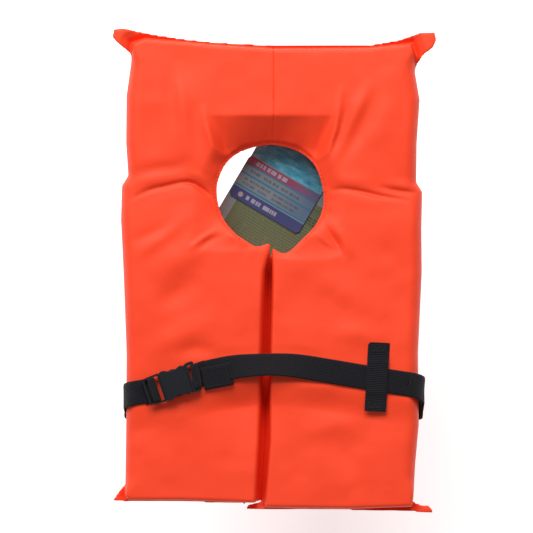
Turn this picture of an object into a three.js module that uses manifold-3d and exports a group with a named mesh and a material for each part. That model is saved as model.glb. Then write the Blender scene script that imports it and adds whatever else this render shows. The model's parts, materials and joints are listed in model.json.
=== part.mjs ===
// A keyhole-style foam life jacket: a nylon shell over closed-cell foam, a collar round the
// neck hole, two chest panels that fold at the shoulders, and one waist belt with a side-release
// buckle. Millimetres. The jacket lies on its back: +Z is out of the front face, +Y is towards
// the head and +X is the viewer's right.
import * as THREE from "three";
import { mergeVertices } from "three/addons/utils/BufferGeometryUtils.js";
import Module from "manifold-3d";

const wasm = await Module();
wasm.setup();

// ---------- driving dimensions ----------

const THICK = 60; // the whole slab, cloth to cloth
const EDGE_ROUND = 16; // how the slab's edges are rounded
const CLOTH = 1; // wall of the shell
const FOAM_INSET = 1.8; // foam face to the outside of the shell
const GAP = 0.3; // between pieces that touch
const REACH = 600; // longer than the jacket, for cutting solids
const PAST = 9; // how far a cutting solid runs past the face it cuts

const SEAM_X = -0.5; // the collar's centre seam
const HOLE = { x: -5, y: 87, r: 62 }; // the neck hole at its rim, half way up the slab
const RIM_Z = THICK / 2;
const FRONT_MOUTH_R = 82; // the hole's front funnel, at the front face
const FRONT_MOUTH_SHIFT = 10; // the front funnel reaches further up the collar
const BACK_MOUTH_R = 96; // the hole's back funnel
const DISH = { r: 137, depth: 2.7 }; // a shallow dish round the hole, where the tags lie

const FOLD = { y: 92, z: 31, angle: 71 }; // shoulder fold line, and the wedge left out behind it
const FOLD_GAP = 1;

const WEB_WIDTH = 28;
const WEB = 1.6; // webbing thickness
const BELT_Z = THICK + GAP + WEB / 2; // middle of the belt where it crosses the front
// Across the back: the belt's middle line, the height of its outer and inner layers, and the
// groove it presses in. Left of doubleX its two ends lie one over the other.
const BACK_BELT = { y: -163, z: 1.1, innerZ: 3, grooveZ: 3.4, deepGrooveZ: 5.3, doubleX: -60 };
const RIGHT_SIDE_X = 173.1; // middle of the belt as it passes the right side
const LEFT_SIDE_X = -174.3;

const BUCKLE = { x: -118.5, y: -129.8, tilt: 18.5 }; // its centre, and how far its right end rises
// The buckle's parts run from one place to another along its length; low and high are heights
// above the slab.
const SOCKET = { from: -10.5, to: 31.3, width: 36, low: 2.3, high: 13.3, wall: 2, bodyEnd: 20.5 };
const SCOOP = { from: -3, to: 13, depth: 2.2, slope: 4 }; // the thumb hollows in its sides
const FRAME = { from: -31.3, to: -10.8, width: 34, low: 4.5, high: 9.5, bar: 3.8, slot: 4.5 };
const PRONG = { from: -10.4, to: 11.5, inner: 10, outer: 13.6, low: 5.3, high: 10.3 };
const SLOT_WIDTH = 29; // a slot for the webbing, in either half
const BAR_RELIEF = 1; // how much thinner the plug's bars are where the webbing turns

const TAB = { x: -66.5, y: -121.3, tilt: 10.9, length: 33, width: 26.4, thick: 3.2 };
const KEEPER = { x: 118.9, y: -124.4, tilt: -3.2, length: 81, width: 25, thick: 1.4 };
const BAR_TACK = { width: 18, length: 6, thick: 0.5, fromEnd: 7 }; // the stitching at its ends
const TAG = { width: 93, length: 128, thick: 0.5, corner: 5, tilt: -30.5, x: -13.8, y: 68.2, z: 1.7 };
const LEAFLET = { width: 148, length: 105, thick: 0.5, corner: 1, tilt: -32, x: -25.5, y: 136, z: 0.9 };

// Outlines in the plane of the front face, each a list of corners.
const COLLAR = [[-172, 20], [-172, 272], [0, 262.5], [110, 262.5], [169, 270], [169, 20]];
const CHEST_LEFT = [[-173.5, -268.5], [-20.5, -271.2], [-13.5, 170], [-174, 170], [-174.5, 60],
  [-172.6, -95]];
const CHEST_RIGHT = [[-12, -278], [110, -278], [163, -280.5], [164, -250], [168, -180],
  [172, -140], [170, -90], [173, 60], [173, 170], [-4.5, 170]];
const EAR_TOP_LEFT = [[-187.5, 269.7], [-187.5, 280.8], [-175.8, 282.55], [-147.7, 274.6],
  [-150, 258], [-166, 250]];
const EAR_TOP_RIGHT = [[189.7, 267.3], [188.1, 277.9], [167, 276.7], [147, 268.4], [150, 256],
  [163, 242], [184.6, 258]];
const EAR_BOTTOM_LEFT = [[-189.7, -266.8], [-181.7, -255.6], [-171, -246], [-160, -255],
  [-160, -266], [-173.5, -269]];
const EAR_BOTTOM_RIGHT = [[187.5, -279], [180.5, -270.9], [160, -270], [150, -270], [150, -279],
  [186.9, -282.55]];
const EAR_BOTTOM_MIDDLE = [[-35.4, -276.7], [-33, -272.7], [-20, -272.4], [-8, -266],
  [0, -266], [0, -276], [-14, -279.4]];
const EAR_Z = [27, 30];
const LABEL = { x: [-179, -174.2], y: [-262, -251], z: [30.6, 31.1] };

// ---------- geometry helpers ----------

function solid(geometry) {
  const bare = geometry.clone();
  bare.deleteAttribute("normal");
  bare.deleteAttribute("uv");
  const merged = mergeVertices(bare, 1e-4);
  return new wasm.Manifold(
    new wasm.Mesh({
      numProp: 3,
      vertProperties: merged.attributes.position.array,
      triVerts: new Uint32Array(merged.index.array),
    }),
  );
}

function geometryOf(manifold) {
  const mesh = manifold.getMesh();
  const geometry = new THREE.BufferGeometry();
  geometry.setAttribute("position", new THREE.BufferAttribute(mesh.vertProperties, 3));
  geometry.setIndex(new THREE.BufferAttribute(mesh.triVerts, 1));
  geometry.computeVertexNormals();
  return geometry;
}

function box(lowX, highX, lowY, highY, lowZ, highZ) {
  const geometry = new THREE.BoxGeometry(highX - lowX, highY - lowY, highZ - lowZ);
  geometry.translate((lowX + highX) / 2, (lowY + highY) / 2, (lowZ + highZ) / 2);
  return geometry;
}

// A closed outline whose corners are rounded by quadratic curves that start `round` before each.
function outline(corners, round = 0) {
  const points = corners.map(([x, y]) => new THREE.Vector2(x, y));
  const shape = new THREE.Shape();
  points.forEach((corner, i) => {
    const before = points[(i + points.length - 1) % points.length];
    const after = points[(i + 1) % points.length];
    const enter = corner.clone().add(before.clone().sub(corner).setLength(round));
    const leave = corner.clone().add(after.clone().sub(corner).setLength(round));
    if (i === 0) shape.moveTo(enter.x, enter.y);
    else shape.lineTo(enter.x, enter.y);
    if (round > 0) shape.quadraticCurveTo(corner.x, corner.y, leave.x, leave.y);
  });
  return shape;
}

function plate(corners, lowZ, highZ, round = 0) {
  const geometry = new THREE.ExtrudeGeometry(outline(corners, round), {
    depth: highZ - lowZ,
    bevelEnabled: false,
    curveSegments: 4,
  });
  return geometry.translate(0, 0, lowZ);
}

// The jacket's slab over an outline, with rounded edges, drawn in by `inset` on every side.
function slab(corners, inset) {
  const round = EDGE_ROUND - inset;
  const geometry = new THREE.ExtrudeGeometry(outline(corners), {
    depth: THICK - 2 * EDGE_ROUND,
    bevelThickness: round,
    bevelSize: round,
    bevelOffset: -EDGE_ROUND,
    bevelSegments: 4,
  });
  return solid(geometry.translate(0, 0, EDGE_ROUND));
}

// What the neck hole takes away: a funnel from each face to the rim, and the dish behind.
// Grown by `extra`, it is the hole as the lining or the foam sees it.
function neckCutter(extra) {
  const side = extra * 1.6; // the funnels' walls slope, so they move further sideways
  const rim = HOLE.r + side;
  const profile = [
    [0, -PAST],
    [DISH.r + extra, -PAST],
    [DISH.r + extra, DISH.depth + extra],
    [BACK_MOUTH_R + side, DISH.depth + extra],
    [rim, RIM_Z],
    [FRONT_MOUTH_R + side, THICK],
    [FRONT_MOUTH_R + side, THICK + PAST],
    [0, THICK + PAST],
  ].map(([r, z]) => new THREE.Vector2(r, z));
  profile.push(profile[0].clone());
  const geometry = new THREE.LatheGeometry(profile, 48).rotateX(Math.PI / 2);
  const place = geometry.attributes.position;
  for (let i = 0; i < place.count; i += 1) {
    const above = Math.max(0, place.getZ(i) - RIM_Z) / (THICK - RIM_Z);
    place.setY(i, place.getY(i) + FRONT_MOUTH_SHIFT * Math.min(1, above));
  }
  return solid(geometry.translate(HOLE.x, HOLE.y, 0));
}

// The space on one side of the shoulder fold: side is 1 for the collar, -1 for the chest.
function foldSide(side, extra) {
  const back = Math.tan(THREE.MathUtils.degToRad(FOLD.angle / 2));
  const edge = FOLD_GAP + extra;
  const profile = [
    [edge, FOLD.z],
    [edge + back * (FOLD.z + PAST), -PAST],
    [REACH, -PAST],
    [REACH, THICK + PAST],
    [edge, THICK + PAST],
  ].map(([y, z]) => [FOLD.y + side * y, z]);
  const geometry = new THREE.ExtrudeGeometry(outline(profile), {
    depth: 2 * REACH,
    bevelEnabled: false,
  });
  // The outline is drawn in (x, y), and is turned so that these run along Y and Z.
  geometry.translate(0, 0, -REACH).rotateX(Math.PI / 2).rotateZ(Math.PI / 2);
  return solid(geometry);
}

// A strap: a long thin box laid along a curve. Its faces stay square to the plane that `across`
// is normal to, so it wraps round a body without twisting.
function strap(curve, width, thick, steps, across = new THREE.Vector3(0, 1, 0)) {
  const geometry = new THREE.BoxGeometry(1, width, thick, steps, 1, 1);
  const place = geometry.attributes.position;
  const face = new THREE.Vector3();
  const side = new THREE.Vector3();
  for (let i = 0; i < place.count; i += 1) {
    const t = THREE.MathUtils.clamp(place.getX(i) + 0.5, 0, 1);
    const along = curve.getTangentAt(t);
    face.crossVectors(along, across).normalize();
    side.crossVectors(face, along).normalize();
    const point = curve.getPointAt(t);
    point.addScaledVector(side, place.getY(i)).addScaledVector(face, place.getZ(i));
    place.setXYZ(i, point.x, point.y, point.z);
  }
  return geometry;
}

function curveThrough(points) {
  return new THREE.CatmullRomCurve3(points.map((p) => new THREE.Vector3(...p)), false, "centripetal");
}

// A path of straight lines joined by quadratic corners. A point marked as a corner is only
// bent towards, and the path passes through the others.
function bentPath(points) {
  const path = new THREE.CurvePath();
  let from = new THREE.Vector3(...points[0].at);
  for (let i = 1; i < points.length; i += 1) {
    const to = new THREE.Vector3(...points[i].at);
    if (points[i].corner) {
      i += 1;
      const end = new THREE.Vector3(...points[i].at);
      path.add(new THREE.QuadraticBezierCurve3(from, to, end));
      from = end;
    } else {
      path.add(new THREE.LineCurve3(from, to));
      from = to;
    }
  }
  return path;
}

function turned(geometry, piece) {
  return geometry.rotateZ(THREE.MathUtils.degToRad(piece.tilt)).translate(piece.x, piece.y, 0);
}

// ---------- shell and foam ----------

const seamSide = {
  left: solid(box(-REACH, SEAM_X - GAP / 2, -REACH, REACH, -REACH, REACH)),
  right: solid(box(SEAM_X + GAP / 2, REACH, -REACH, REACH, -REACH, REACH)),
};

// The groove that the belt presses into the jacket's back, grown by `extra` all round. It is
// deeper on the left, where the belt's two ends lie one over the other.
function beltGroove(extra) {
  const half = WEB_WIDTH / 2 + 1 + extra;
  const { y, grooveZ, deepGrooveZ, doubleX } = BACK_BELT;
  const shallow = box(-REACH, REACH, y - half - 2, y + half, -PAST, grooveZ + extra);
  const deep = box(-REACH, doubleX + extra, y - half - 12, y + half, -PAST, deepGrooveZ + extra);
  return solid(shallow).add(solid(deep));
}

// A cloth shell over one stretch of the slab: open at the fold, and lined by its own cavity.
function cover(corners, ears, side) {
  let outer = slab(corners, 0);
  for (const ear of ears) outer = outer.add(solid(plate(ear, ...EAR_Z)));
  outer = outer.subtract(neckCutter(0)).subtract(beltGroove(0));
  const cavity = slab(corners, CLOTH).subtract(neckCutter(CLOTH)).subtract(beltGroove(CLOTH));
  return outer.subtract(cavity).intersect(foldSide(side, 0));
}

// The foam under that shell, as two sheets laid one on the other.
function foamSheets(corners, side) {
  const block = slab(corners, FOAM_INSET)
    .subtract(neckCutter(FOAM_INSET))
    .subtract(beltGroove(FOAM_INSET))
    .intersect(foldSide(side, FOAM_INSET));
  const middle = THICK / 2;
  const reach = [-REACH, REACH, -REACH, REACH];
  return {
    front: block.intersect(solid(box(...reach, middle + GAP / 2, REACH))),
    back: block.intersect(solid(box(...reach, -REACH, middle - GAP / 2))),
  };
}

// ---------- waist belt ----------

const frontBelt = [
  [-88, -119.4], [-70, -115.7], [-45, -112], [-12, -110], [20, -110.8], [60, -116.8],
  [100, -123.4], [140, -130], [157, -132.4],
];

// From the socket, over both panels, round the right side and back under the jacket.
function beltRight() {
  const { y, z } = BACK_BELT;
  const front = curveThrough(frontBelt.map(([px, py]) => [px, py, BELT_Z]));
  const side = bentPath([
    { at: [154, -132, BELT_Z] },
    { at: [157, -132.4, BELT_Z] },
    { at: [RIGHT_SIDE_X, -135, BELT_Z], corner: true },
    { at: [RIGHT_SIDE_X, -142, 45] },
    { at: [RIGHT_SIDE_X, -156, 17] },
    { at: [RIGHT_SIDE_X, y, z], corner: true },
    { at: [157, y, z] },
    { at: [-118, y, z] },
  ]);
  const loop = curveThrough([
    [34, 0, BELT_Z + 5.4], [33.2, 0, BELT_Z + 8.2], [31.6, 0, BELT_Z + 9.7], [29.4, 0, BELT_Z + 10],
    [27.2, 0, BELT_Z + 9.6], [25.7, 0, BELT_Z + 7.8], [25.5, 0, BELT_Z + 4.5],
    [26.4, 0, BELT_Z + 1.6], [29, 0, BELT_Z], [36, 0, BELT_Z], [44, 0, BELT_Z],
  ]);
  return solid(strap(front, WEB_WIDTH, WEB, 24))
    .add(solid(strap(side, WEB_WIDTH, WEB, 48)))
    .add(solid(turned(strap(loop, WEB_WIDTH, WEB, 24), BUCKLE)));
}

// From the plug's bar, round the left side, and under the jacket over the other end.
function beltLeft() {
  const { y, z, innerZ } = BACK_BELT;
  const bars = curveThrough([
    [-16.9, 0, BELT_Z + 1.4], [-16.9, 0, BELT_Z + 6], [-17.8, 0, BELT_Z + 8.6],
    [-20.8, 0, BELT_Z + 9.4], [-23.7, 0, BELT_Z + 8.6], [-24.7, 0, BELT_Z + 6],
    [-26.4, 0, BELT_Z + 1.6], [-30, 0, BELT_Z], [-36, 0, BELT_Z],
  ]);
  const side = bentPath([
    { at: [-147, -139.3, BELT_Z] },
    { at: [-156, -142.4, BELT_Z] },
    { at: [LEFT_SIDE_X, -149, BELT_Z], corner: true },
    { at: [LEFT_SIDE_X, -153, 44] },
    { at: [LEFT_SIDE_X, -159, 15] },
    { at: [LEFT_SIDE_X, y, z], corner: true },
    { at: [-157, y, z] },
    { at: [-129, y, z] },
    { at: [-122, y, innerZ] },
    { at: [-66, y, innerZ] },
  ]);
  return solid(turned(strap(bars, WEB_WIDTH, WEB, 24), BUCKLE)).add(
    solid(strap(side, WEB_WIDTH, WEB, 48)),
  );
}

function keeper() {
  const half = KEEPER.length / 2;
  const low = THICK + GAP + KEEPER.thick / 2;
  const high = THICK + 2 * GAP + WEB + KEEPER.thick / 2 + 0.1;
  const path = curveThrough([
    [0, -half, low], [0, -28, low], [0, -24, low + 0.2], [0, -20, high - 0.1], [0, -15, high],
    [0, 15, high], [0, 20, high - 0.1], [0, 24, low + 0.2], [0, 28, low], [0, half, low],
  ]);
  const across = new THREE.Vector3(-1, 0, 0);
  return turned(strap(path, KEEPER.width, KEEPER.thick, 40, across), KEEPER);
}

function keeperStitch(end) {
  const low = THICK + GAP + KEEPER.thick + GAP;
  const middle = end * (KEEPER.length / 2 - BAR_TACK.fromEnd);
  const [x, y] = [BAR_TACK.width / 2, BAR_TACK.length / 2];
  return turned(box(-x, x, middle - y, middle + y, low, low + BAR_TACK.thick), KEEPER);
}

function stopTab() {
  const low = BELT_Z + WEB / 2 + GAP;
  const [x, y] = [TAB.length / 2, TAB.width / 2];
  return turned(plate([[-x, -y], [x, -y], [x, y], [-x, y]], low, low + TAB.thick, 2), TAB);
}

// ---------- side-release buckle ----------
// Drawn with its length along X and its middle at the origin, then turned into place.

function socket() {
  const { from, to, width, low, high, wall, bodyEnd } = SOCKET;
  const half = width / 2;
  const slotHalf = SLOT_WIDTH / 2;
  const [bottom, top] = [THICK + low, THICK + high];
  const upper = [
    [bodyEnd, half - 3], [SCOOP.to, half], [SCOOP.to - SCOOP.slope, half - SCOOP.depth],
    [SCOOP.from + SCOOP.slope, half - SCOOP.depth], [SCOOP.from, half], [from, half - 2],
  ];
  const lower = upper.map(([x, y]) => [x, -y]).reverse();
  const body = plate([...lower, ...upper], bottom, top, 1.2);
  const loopStart = bodyEnd - 2.5;
  const loop = plate(
    [[loopStart, 1.5 - half], [to, -half], [to, half], [loopStart, half - 1.5]],
    bottom + 2.2, top - 4, 1.5,
  );
  const slot = box(to - 7.8, to - FRAME.bar, -slotHalf, slotHalf, bottom - 1, top + 1);
  const cavity = box(from - 1, SCOOP.to + 1, -slotHalf, slotHalf, bottom + wall, top - wall);
  const windows = box(SCOOP.from + 0.5, SCOOP.to - 1, -half - 1, half + 1, bottom + wall, top - wall);
  return solid(body).add(solid(loop)).subtract(solid(slot)).subtract(solid(cavity))
    .subtract(solid(windows));
}

// The plug's frame holds two slots with a bar between them, where the strap is threaded, and a
// guide tongue that runs into the socket between the prongs.
function plug() {
  const { from, to, width, low, high, bar, slot } = FRAME;
  const half = width / 2;
  const slotHalf = SLOT_WIDTH / 2;
  const [bottom, top] = [THICK + low, THICK + high];
  const frame = plate([[from, 1 - half], [to, -half], [to, half], [from, half - 1]], bottom, top, 1.5);
  const across = [-slotHalf, slotHalf, bottom - 1, top + 1];
  const outerSlot = box(from + bar, from + bar + slot, ...across);
  const innerSlot = box(from + 2 * slot + bar, to - 2.5, ...across);
  const guide = plate([[to - 1, -4.5], [10, -3], [12, -1.5], [12, 1.5], [10, 3], [to - 1, 4.5]],
    THICK + PRONG.low, THICK + PRONG.high);
  // The bars that the strap turns round are thinner, so the strap lies lower over them.
  const relief = box(from + 7, from + 13.2, -slotHalf, slotHalf, top - BAR_RELIEF, top + 1);
  return solid(frame).add(solid(guide)).subtract(solid(outerSlot)).subtract(solid(innerSlot))
    .subtract(solid(relief));
}

// One of the two spring arms. Its tip swells outwards into the catch that the thumb presses.
function prong(side) {
  const { from, to, inner, outer, low, high } = PRONG;
  const corners = [[from, inner], [0, inner - 0.5], [to - 2, inner - 2], [to, inner],
    [to, outer - 1], [to - 2, outer], [0, outer], [-2, outer - 1.6], [from, outer - 1.2]];
  const shape = corners.map(([x, y]) => [x, side * y]);
  return plate(shape, THICK + low, THICK + high);
}

// ---------- tags ----------

function roundedCard(card, x, y) {
  const corners = [[x, y], [x + card.width, y], [x + card.width, y + card.length], [x, y + card.length]];
  return turned(plate(corners, card.z, card.z + card.thick, card.corner), card);
}

// The tag's fastener: a short bar across the collar's back, and a thread to the tag's top edge.
function tagFastener() {
  const top = TAG.length;
  const z = TAG.z + TAG.thick / 2;
  const thread = box(-0.6, 0.6, top + GAP, top + 5, z - 0.4, z + 0.4);
  const bar = box(-5, 5, top + 4.6, top + 5.8, z - 0.4, z + 0.4);
  return turned(geometryOf(solid(thread).add(solid(bar))), TAG);
}

// A longer thread, which holds the leaflet's corner from the same place.
function leafletFastener() {
  const turn = THREE.MathUtils.degToRad(TAG.tilt);
  const start = new THREE.Vector2(-4, TAG.length - 2).rotateAround(new THREE.Vector2(), turn);
  const from = [start.x + TAG.x, start.y + TAG.y, LEAFLET.z + 0.25];
  const to = [LEAFLET.x + 1.6, LEAFLET.y + 1.8, LEAFLET.z + 0.25];
  return strap(new THREE.LineCurve3(new THREE.Vector3(...from), new THREE.Vector3(...to)), 1, 0.6, 1);
}

function sideLabel() {
  return box(...LABEL.x, ...LABEL.y, ...LABEL.z);
}

// ---------- assembly ----------

const nylon = { color: 0xf4552f, roughness: 0.55, metalness: 0 };
const foam = { color: 0xe9e4d6, roughness: 0.9, metalness: 0 };
const webbing = { color: 0x1c1c20, roughness: 0.85, metalness: 0 };
const moulded = { color: 0x18181b, roughness: 0.4, metalness: 0 };
const thread = { color: 0x141417, roughness: 0.8, metalness: 0 };
const cardboard = { color: 0x2f7d94, roughness: 0.5, metalness: 0 };
const paper = { color: 0x8c8f5e, roughness: 0.85, metalness: 0 };
const clearNylon = { color: 0xdfe3e6, roughness: 0.3, metalness: 0 };
const satin = { color: 0xe8e8ea, roughness: 0.5, metalness: 0 };

const collar = new THREE.Group();
const chestRight = new THREE.Group();
const chestLeft = new THREE.Group();
const plugEnd = new THREE.Group();
const jacket = new THREE.Group();
jacket.add(collar, chestRight, chestLeft, plugEnd);

function put(group, name, shape, material) {
  const geometry = shape.isBufferGeometry ? shape : geometryOf(shape);
  const mesh = new THREE.Mesh(geometry, new THREE.MeshStandardMaterial(material));
  mesh.name = name;
  group.add(mesh);
}

const collarCover = cover(COLLAR, [EAR_TOP_LEFT, EAR_TOP_RIGHT], 1);
const collarFoam = foamSheets(COLLAR, 1);
put(collar, "collar_cover_left", collarCover.intersect(seamSide.left), nylon);
put(collar, "collar_cover_right", collarCover.intersect(seamSide.right), nylon);
put(collar, "collar_foam_front", collarFoam.front, foam);
put(collar, "collar_foam_back", collarFoam.back, foam);

const leftFoam = foamSheets(CHEST_LEFT, -1);
put(chestLeft, "chest_cover_left", cover(CHEST_LEFT, [EAR_BOTTOM_LEFT], -1), nylon);
put(chestLeft, "chest_left_foam_front", leftFoam.front, foam);
put(chestLeft, "chest_left_foam_back", leftFoam.back, foam);
put(chestLeft, "side_label", sideLabel(), satin);

const rightFoam = foamSheets(CHEST_RIGHT, -1);
const rightEars = [EAR_BOTTOM_RIGHT, EAR_BOTTOM_MIDDLE];
put(chestRight, "chest_cover_right", cover(CHEST_RIGHT, rightEars, -1), nylon);
put(chestRight, "chest_right_foam_front", rightFoam.front, foam);
put(chestRight, "chest_right_foam_back", rightFoam.back, foam);
put(chestRight, "belt_right", beltRight(), webbing);
put(chestRight, "stop_tab", stopTab(), webbing);
put(chestRight, "belt_keeper", keeper(), webbing);
put(chestRight, "keeper_stitch_upper", keeperStitch(1), thread);
put(chestRight, "keeper_stitch_lower", keeperStitch(-1), thread);
put(chestRight, "buckle_socket", turned(geometryOf(socket()), BUCKLE), moulded);

put(plugEnd, "buckle_plug", turned(geometryOf(plug()), BUCKLE), moulded);
put(plugEnd, "belt_left", beltLeft(), webbing);
put(plugEnd, "prong_upper", turned(prong(1), BUCKLE), moulded);
put(plugEnd, "prong_lower", turned(prong(-1), BUCKLE), moulded);

put(collar, "hang_tag", roundedCard(TAG, -TAG.width / 2, 0), cardboard);
put(collar, "tag_fastener", tagFastener(), clearNylon);
put(collar, "leaflet", roundedCard(LEAFLET, 0, -LEAFLET.length), paper);
put(collar, "leaflet_fastener", leafletFastener(), clearNylon);

export default jacket;
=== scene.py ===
import json
import math

import bpy
import numpy as np
import openvdb
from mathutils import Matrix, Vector
from mathutils.bvhtree import BVHTree


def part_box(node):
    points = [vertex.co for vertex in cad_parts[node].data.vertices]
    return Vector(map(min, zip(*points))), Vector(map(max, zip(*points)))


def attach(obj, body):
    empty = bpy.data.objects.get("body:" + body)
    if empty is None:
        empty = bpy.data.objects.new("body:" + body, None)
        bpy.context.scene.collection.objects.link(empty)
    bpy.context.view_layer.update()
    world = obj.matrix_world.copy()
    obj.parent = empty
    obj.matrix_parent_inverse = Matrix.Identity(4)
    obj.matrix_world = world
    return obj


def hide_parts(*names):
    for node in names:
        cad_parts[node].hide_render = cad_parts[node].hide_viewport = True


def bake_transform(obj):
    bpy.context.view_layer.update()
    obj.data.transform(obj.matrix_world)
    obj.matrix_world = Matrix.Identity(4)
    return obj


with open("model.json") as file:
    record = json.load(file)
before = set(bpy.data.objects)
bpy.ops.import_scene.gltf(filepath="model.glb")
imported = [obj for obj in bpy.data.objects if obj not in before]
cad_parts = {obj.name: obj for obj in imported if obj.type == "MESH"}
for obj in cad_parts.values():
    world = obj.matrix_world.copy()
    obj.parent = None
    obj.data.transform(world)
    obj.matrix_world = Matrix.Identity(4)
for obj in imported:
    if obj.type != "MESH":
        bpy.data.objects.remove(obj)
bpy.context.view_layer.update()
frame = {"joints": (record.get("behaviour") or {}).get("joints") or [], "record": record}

MM = 0.001

# ---------- sizes, from the frame ----------


def box_mm(node):
    low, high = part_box(node)
    return np.array(low) / MM, np.array(high) / MM


SLAB = box_mm("chest_cover_left")[1][2]  # thickness of the jacket
MIDDLE = SLAB / 2
FOLD_Y = next(j["pos_m"][1] for j in frame["joints"] if j["name"] == "chest_right_fold") / MM
NECK_LOW, NECK_HIGH = (np.array(p) / MM for p in frame["record"]["physics"]["openings"][0]["box_m"])
NECK_X, NECK_Y = (NECK_LOW[:2] + NECK_HIGH[:2]) / 2
SEAM_X = (box_mm("collar_cover_left")[1][0] + box_mm("collar_cover_right")[0][0]) / 2

# ---------- camera, floor and light ----------

VIEW_WIDTH = 623.6  # mm across the picture, at half the slab's height
CAMERA_HEIGHT = 2700
VIEW_X, VIEW_Y = -9, 5.8  # the point that the camera stands over
SENSOR = 36
FLOOR_Z = -340  # below the chest panels when they are folded right down
LIGHTS = [  # name, place, size and watts: one high behind the head, and a faint one to each side
    ("key", (-0.5, 2.1, 2.2), (2.6, 1.4), 118),
    ("left", (-2.6, 0.4, 1.2), (1.2, 1.2), 2),
    ("right", (2.6, 0.2, 1.2), (1.2, 1.2), 2),
]


def aim(obj, target):
    obj.rotation_euler = (Vector(target) - obj.location).to_track_quat("-Z", "Y").to_euler()


def add_camera():
    data = bpy.data.cameras.new("camera")
    data.sensor_width = SENSOR
    data.lens = SENSOR * (CAMERA_HEIGHT - MIDDLE) / VIEW_WIDTH
    data.clip_end = 50
    camera = bpy.data.objects.new("camera", data)
    bpy.context.scene.collection.objects.link(camera)
    camera.location = (VIEW_X * MM, VIEW_Y * MM, CAMERA_HEIGHT * MM)
    bpy.context.scene.camera = camera


def add_area_light(name, place, size, watts):
    data = bpy.data.lights.new(name, "AREA")
    data.shape = "RECTANGLE"
    data.size, data.size_y = size
    data.energy = watts
    light = bpy.data.objects.new(name, data)
    bpy.context.scene.collection.objects.link(light)
    light.location = place
    aim(light, (0, 0, MIDDLE * MM))


def add_stage():
    """A pale floor that can be seen through from below, an even sky, and the lights."""
    bpy.ops.mesh.primitive_plane_add(size=12, location=(0, 0, FLOOR_Z * MM))
    floor = bpy.context.object
    floor.name = "floor"
    material = bpy.data.materials.new("floor")
    material.use_nodes = True
    shader = material.node_tree.nodes["Principled BSDF"]
    shader.inputs["Base Color"].default_value = (0.92, 0.92, 0.92, 1)
    shader.inputs["Roughness"].default_value = 0.9
    shader.inputs["Emission Color"].default_value = (1, 1, 1, 1)
    shader.inputs["Emission Strength"].default_value = 0.5
    tree = material.node_tree
    see_through = tree.nodes.new("ShaderNodeMixShader")
    tree.links.new(tree.nodes.new("ShaderNodeNewGeometry").outputs["Backfacing"], see_through.inputs[0])
    tree.links.new(shader.outputs[0], see_through.inputs[1])
    tree.links.new(tree.nodes.new("ShaderNodeBsdfTransparent").outputs[0], see_through.inputs[2])
    tree.links.new(see_through.outputs[0], tree.nodes["Material Output"].inputs["Surface"])
    floor.data.materials.append(material)
    world = bpy.data.worlds.new("studio")
    bpy.context.scene.world = world
    world.use_nodes = True
    world.node_tree.nodes["Background"].inputs["Color"].default_value = (1, 1, 1, 1)
    world.node_tree.nodes["Background"].inputs["Strength"].default_value = 0.30
    for light in LIGHTS:
        add_area_light(*light)


scene = bpy.context.scene
scene.view_settings.view_transform = "Standard"
add_camera()
add_stage()

# ---------- node materials ----------


class Nodes:
    """A short way to build a node material: each call adds one node and links its inputs."""

    def __init__(self, name):
        self.material = bpy.data.materials.new(name)
        self.material.use_nodes = True
        self.tree = self.material.node_tree
        self.shader = self.tree.nodes["Principled BSDF"]

    def add(self, kind, inputs=None, **settings):
        node = self.tree.nodes.new(kind)
        for key, value in settings.items():
            setattr(node, key, value)
        for key, value in (inputs or {}).items():
            self.set(node.inputs[key], value)
        return node

    def set(self, socket, value):
        if isinstance(value, bpy.types.NodeSocket):
            self.tree.links.new(value, socket)
        else:
            socket.default_value = value

    def math(self, operation, a, b=0.0, clamp=False):
        node = self.add("ShaderNodeMath", {0: a, 1: b}, operation=operation, use_clamp=clamp)
        return node.outputs[0]

    def plus(self, a, b):
        return self.math("ADD", a, b)

    def times(self, a, b):
        return self.math("MULTIPLY", a, b)

    def mix(self, factor, a, b):
        node = self.add("ShaderNodeMix", data_type="RGBA")
        self.set(node.inputs[0], factor)
        self.set(node.inputs[6], a)
        self.set(node.inputs[7], b)
        return node.outputs[2]

    def place(self, scale=(1, 1, 1), turn=0.0):
        here = self.add("ShaderNodeTexCoord").outputs["Object"]
        node = self.add("ShaderNodeMapping", {"Vector": here, "Scale": scale})
        node.inputs["Rotation"].default_value = (0, 0, turn)
        return node.outputs[0]

    def flat_place(self):
        """Where a point is on the piece laid flat, in metres: the pair, and each part of it."""
        uv = self.add("ShaderNodeTexCoord").outputs["UV"]
        apart = self.add("ShaderNodeSeparateXYZ", {0: uv})
        return uv, apart.outputs[0], apart.outputs[1]

    def noise(self, scale, detail=2.0, roughness=0.5, vector=None):
        node = self.add("ShaderNodeTexNoise", {"Scale": scale, "Detail": detail, "Roughness": roughness})
        self.set(node.inputs["Vector"], vector or self.place())
        return node.outputs[0]

    def wave(self, scale, direction="X", vector=None, profile="SIN"):
        node = self.add("ShaderNodeTexWave", {"Scale": scale}, bands_direction=direction,
                        wave_profile=profile)
        self.set(node.inputs["Vector"], vector or self.place())
        return node.outputs["Fac"]

    def ramp(self, factor, stops, steps=False):
        node = self.add("ShaderNodeValToRGB", {"Fac": factor})
        ramp = node.color_ramp
        ramp.interpolation = "CONSTANT" if steps else "LINEAR"
        while len(ramp.elements) < len(stops):
            ramp.elements.new(0.9)
        for element, (place, colour) in zip(ramp.elements, stops):
            element.position = place
            element.color = colour
        return node.outputs["Color"]

    def bump(self, height, strength, distance):
        node = self.add("ShaderNodeBump", {"Height": height, "Strength": strength, "Distance": distance})
        self.set(self.shader.inputs["Normal"], node.outputs[0])

    def shade(self, **inputs):
        for key, value in inputs.items():
            self.set(self.shader.inputs[key.replace("_", " ")], value)
        return self.material


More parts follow.
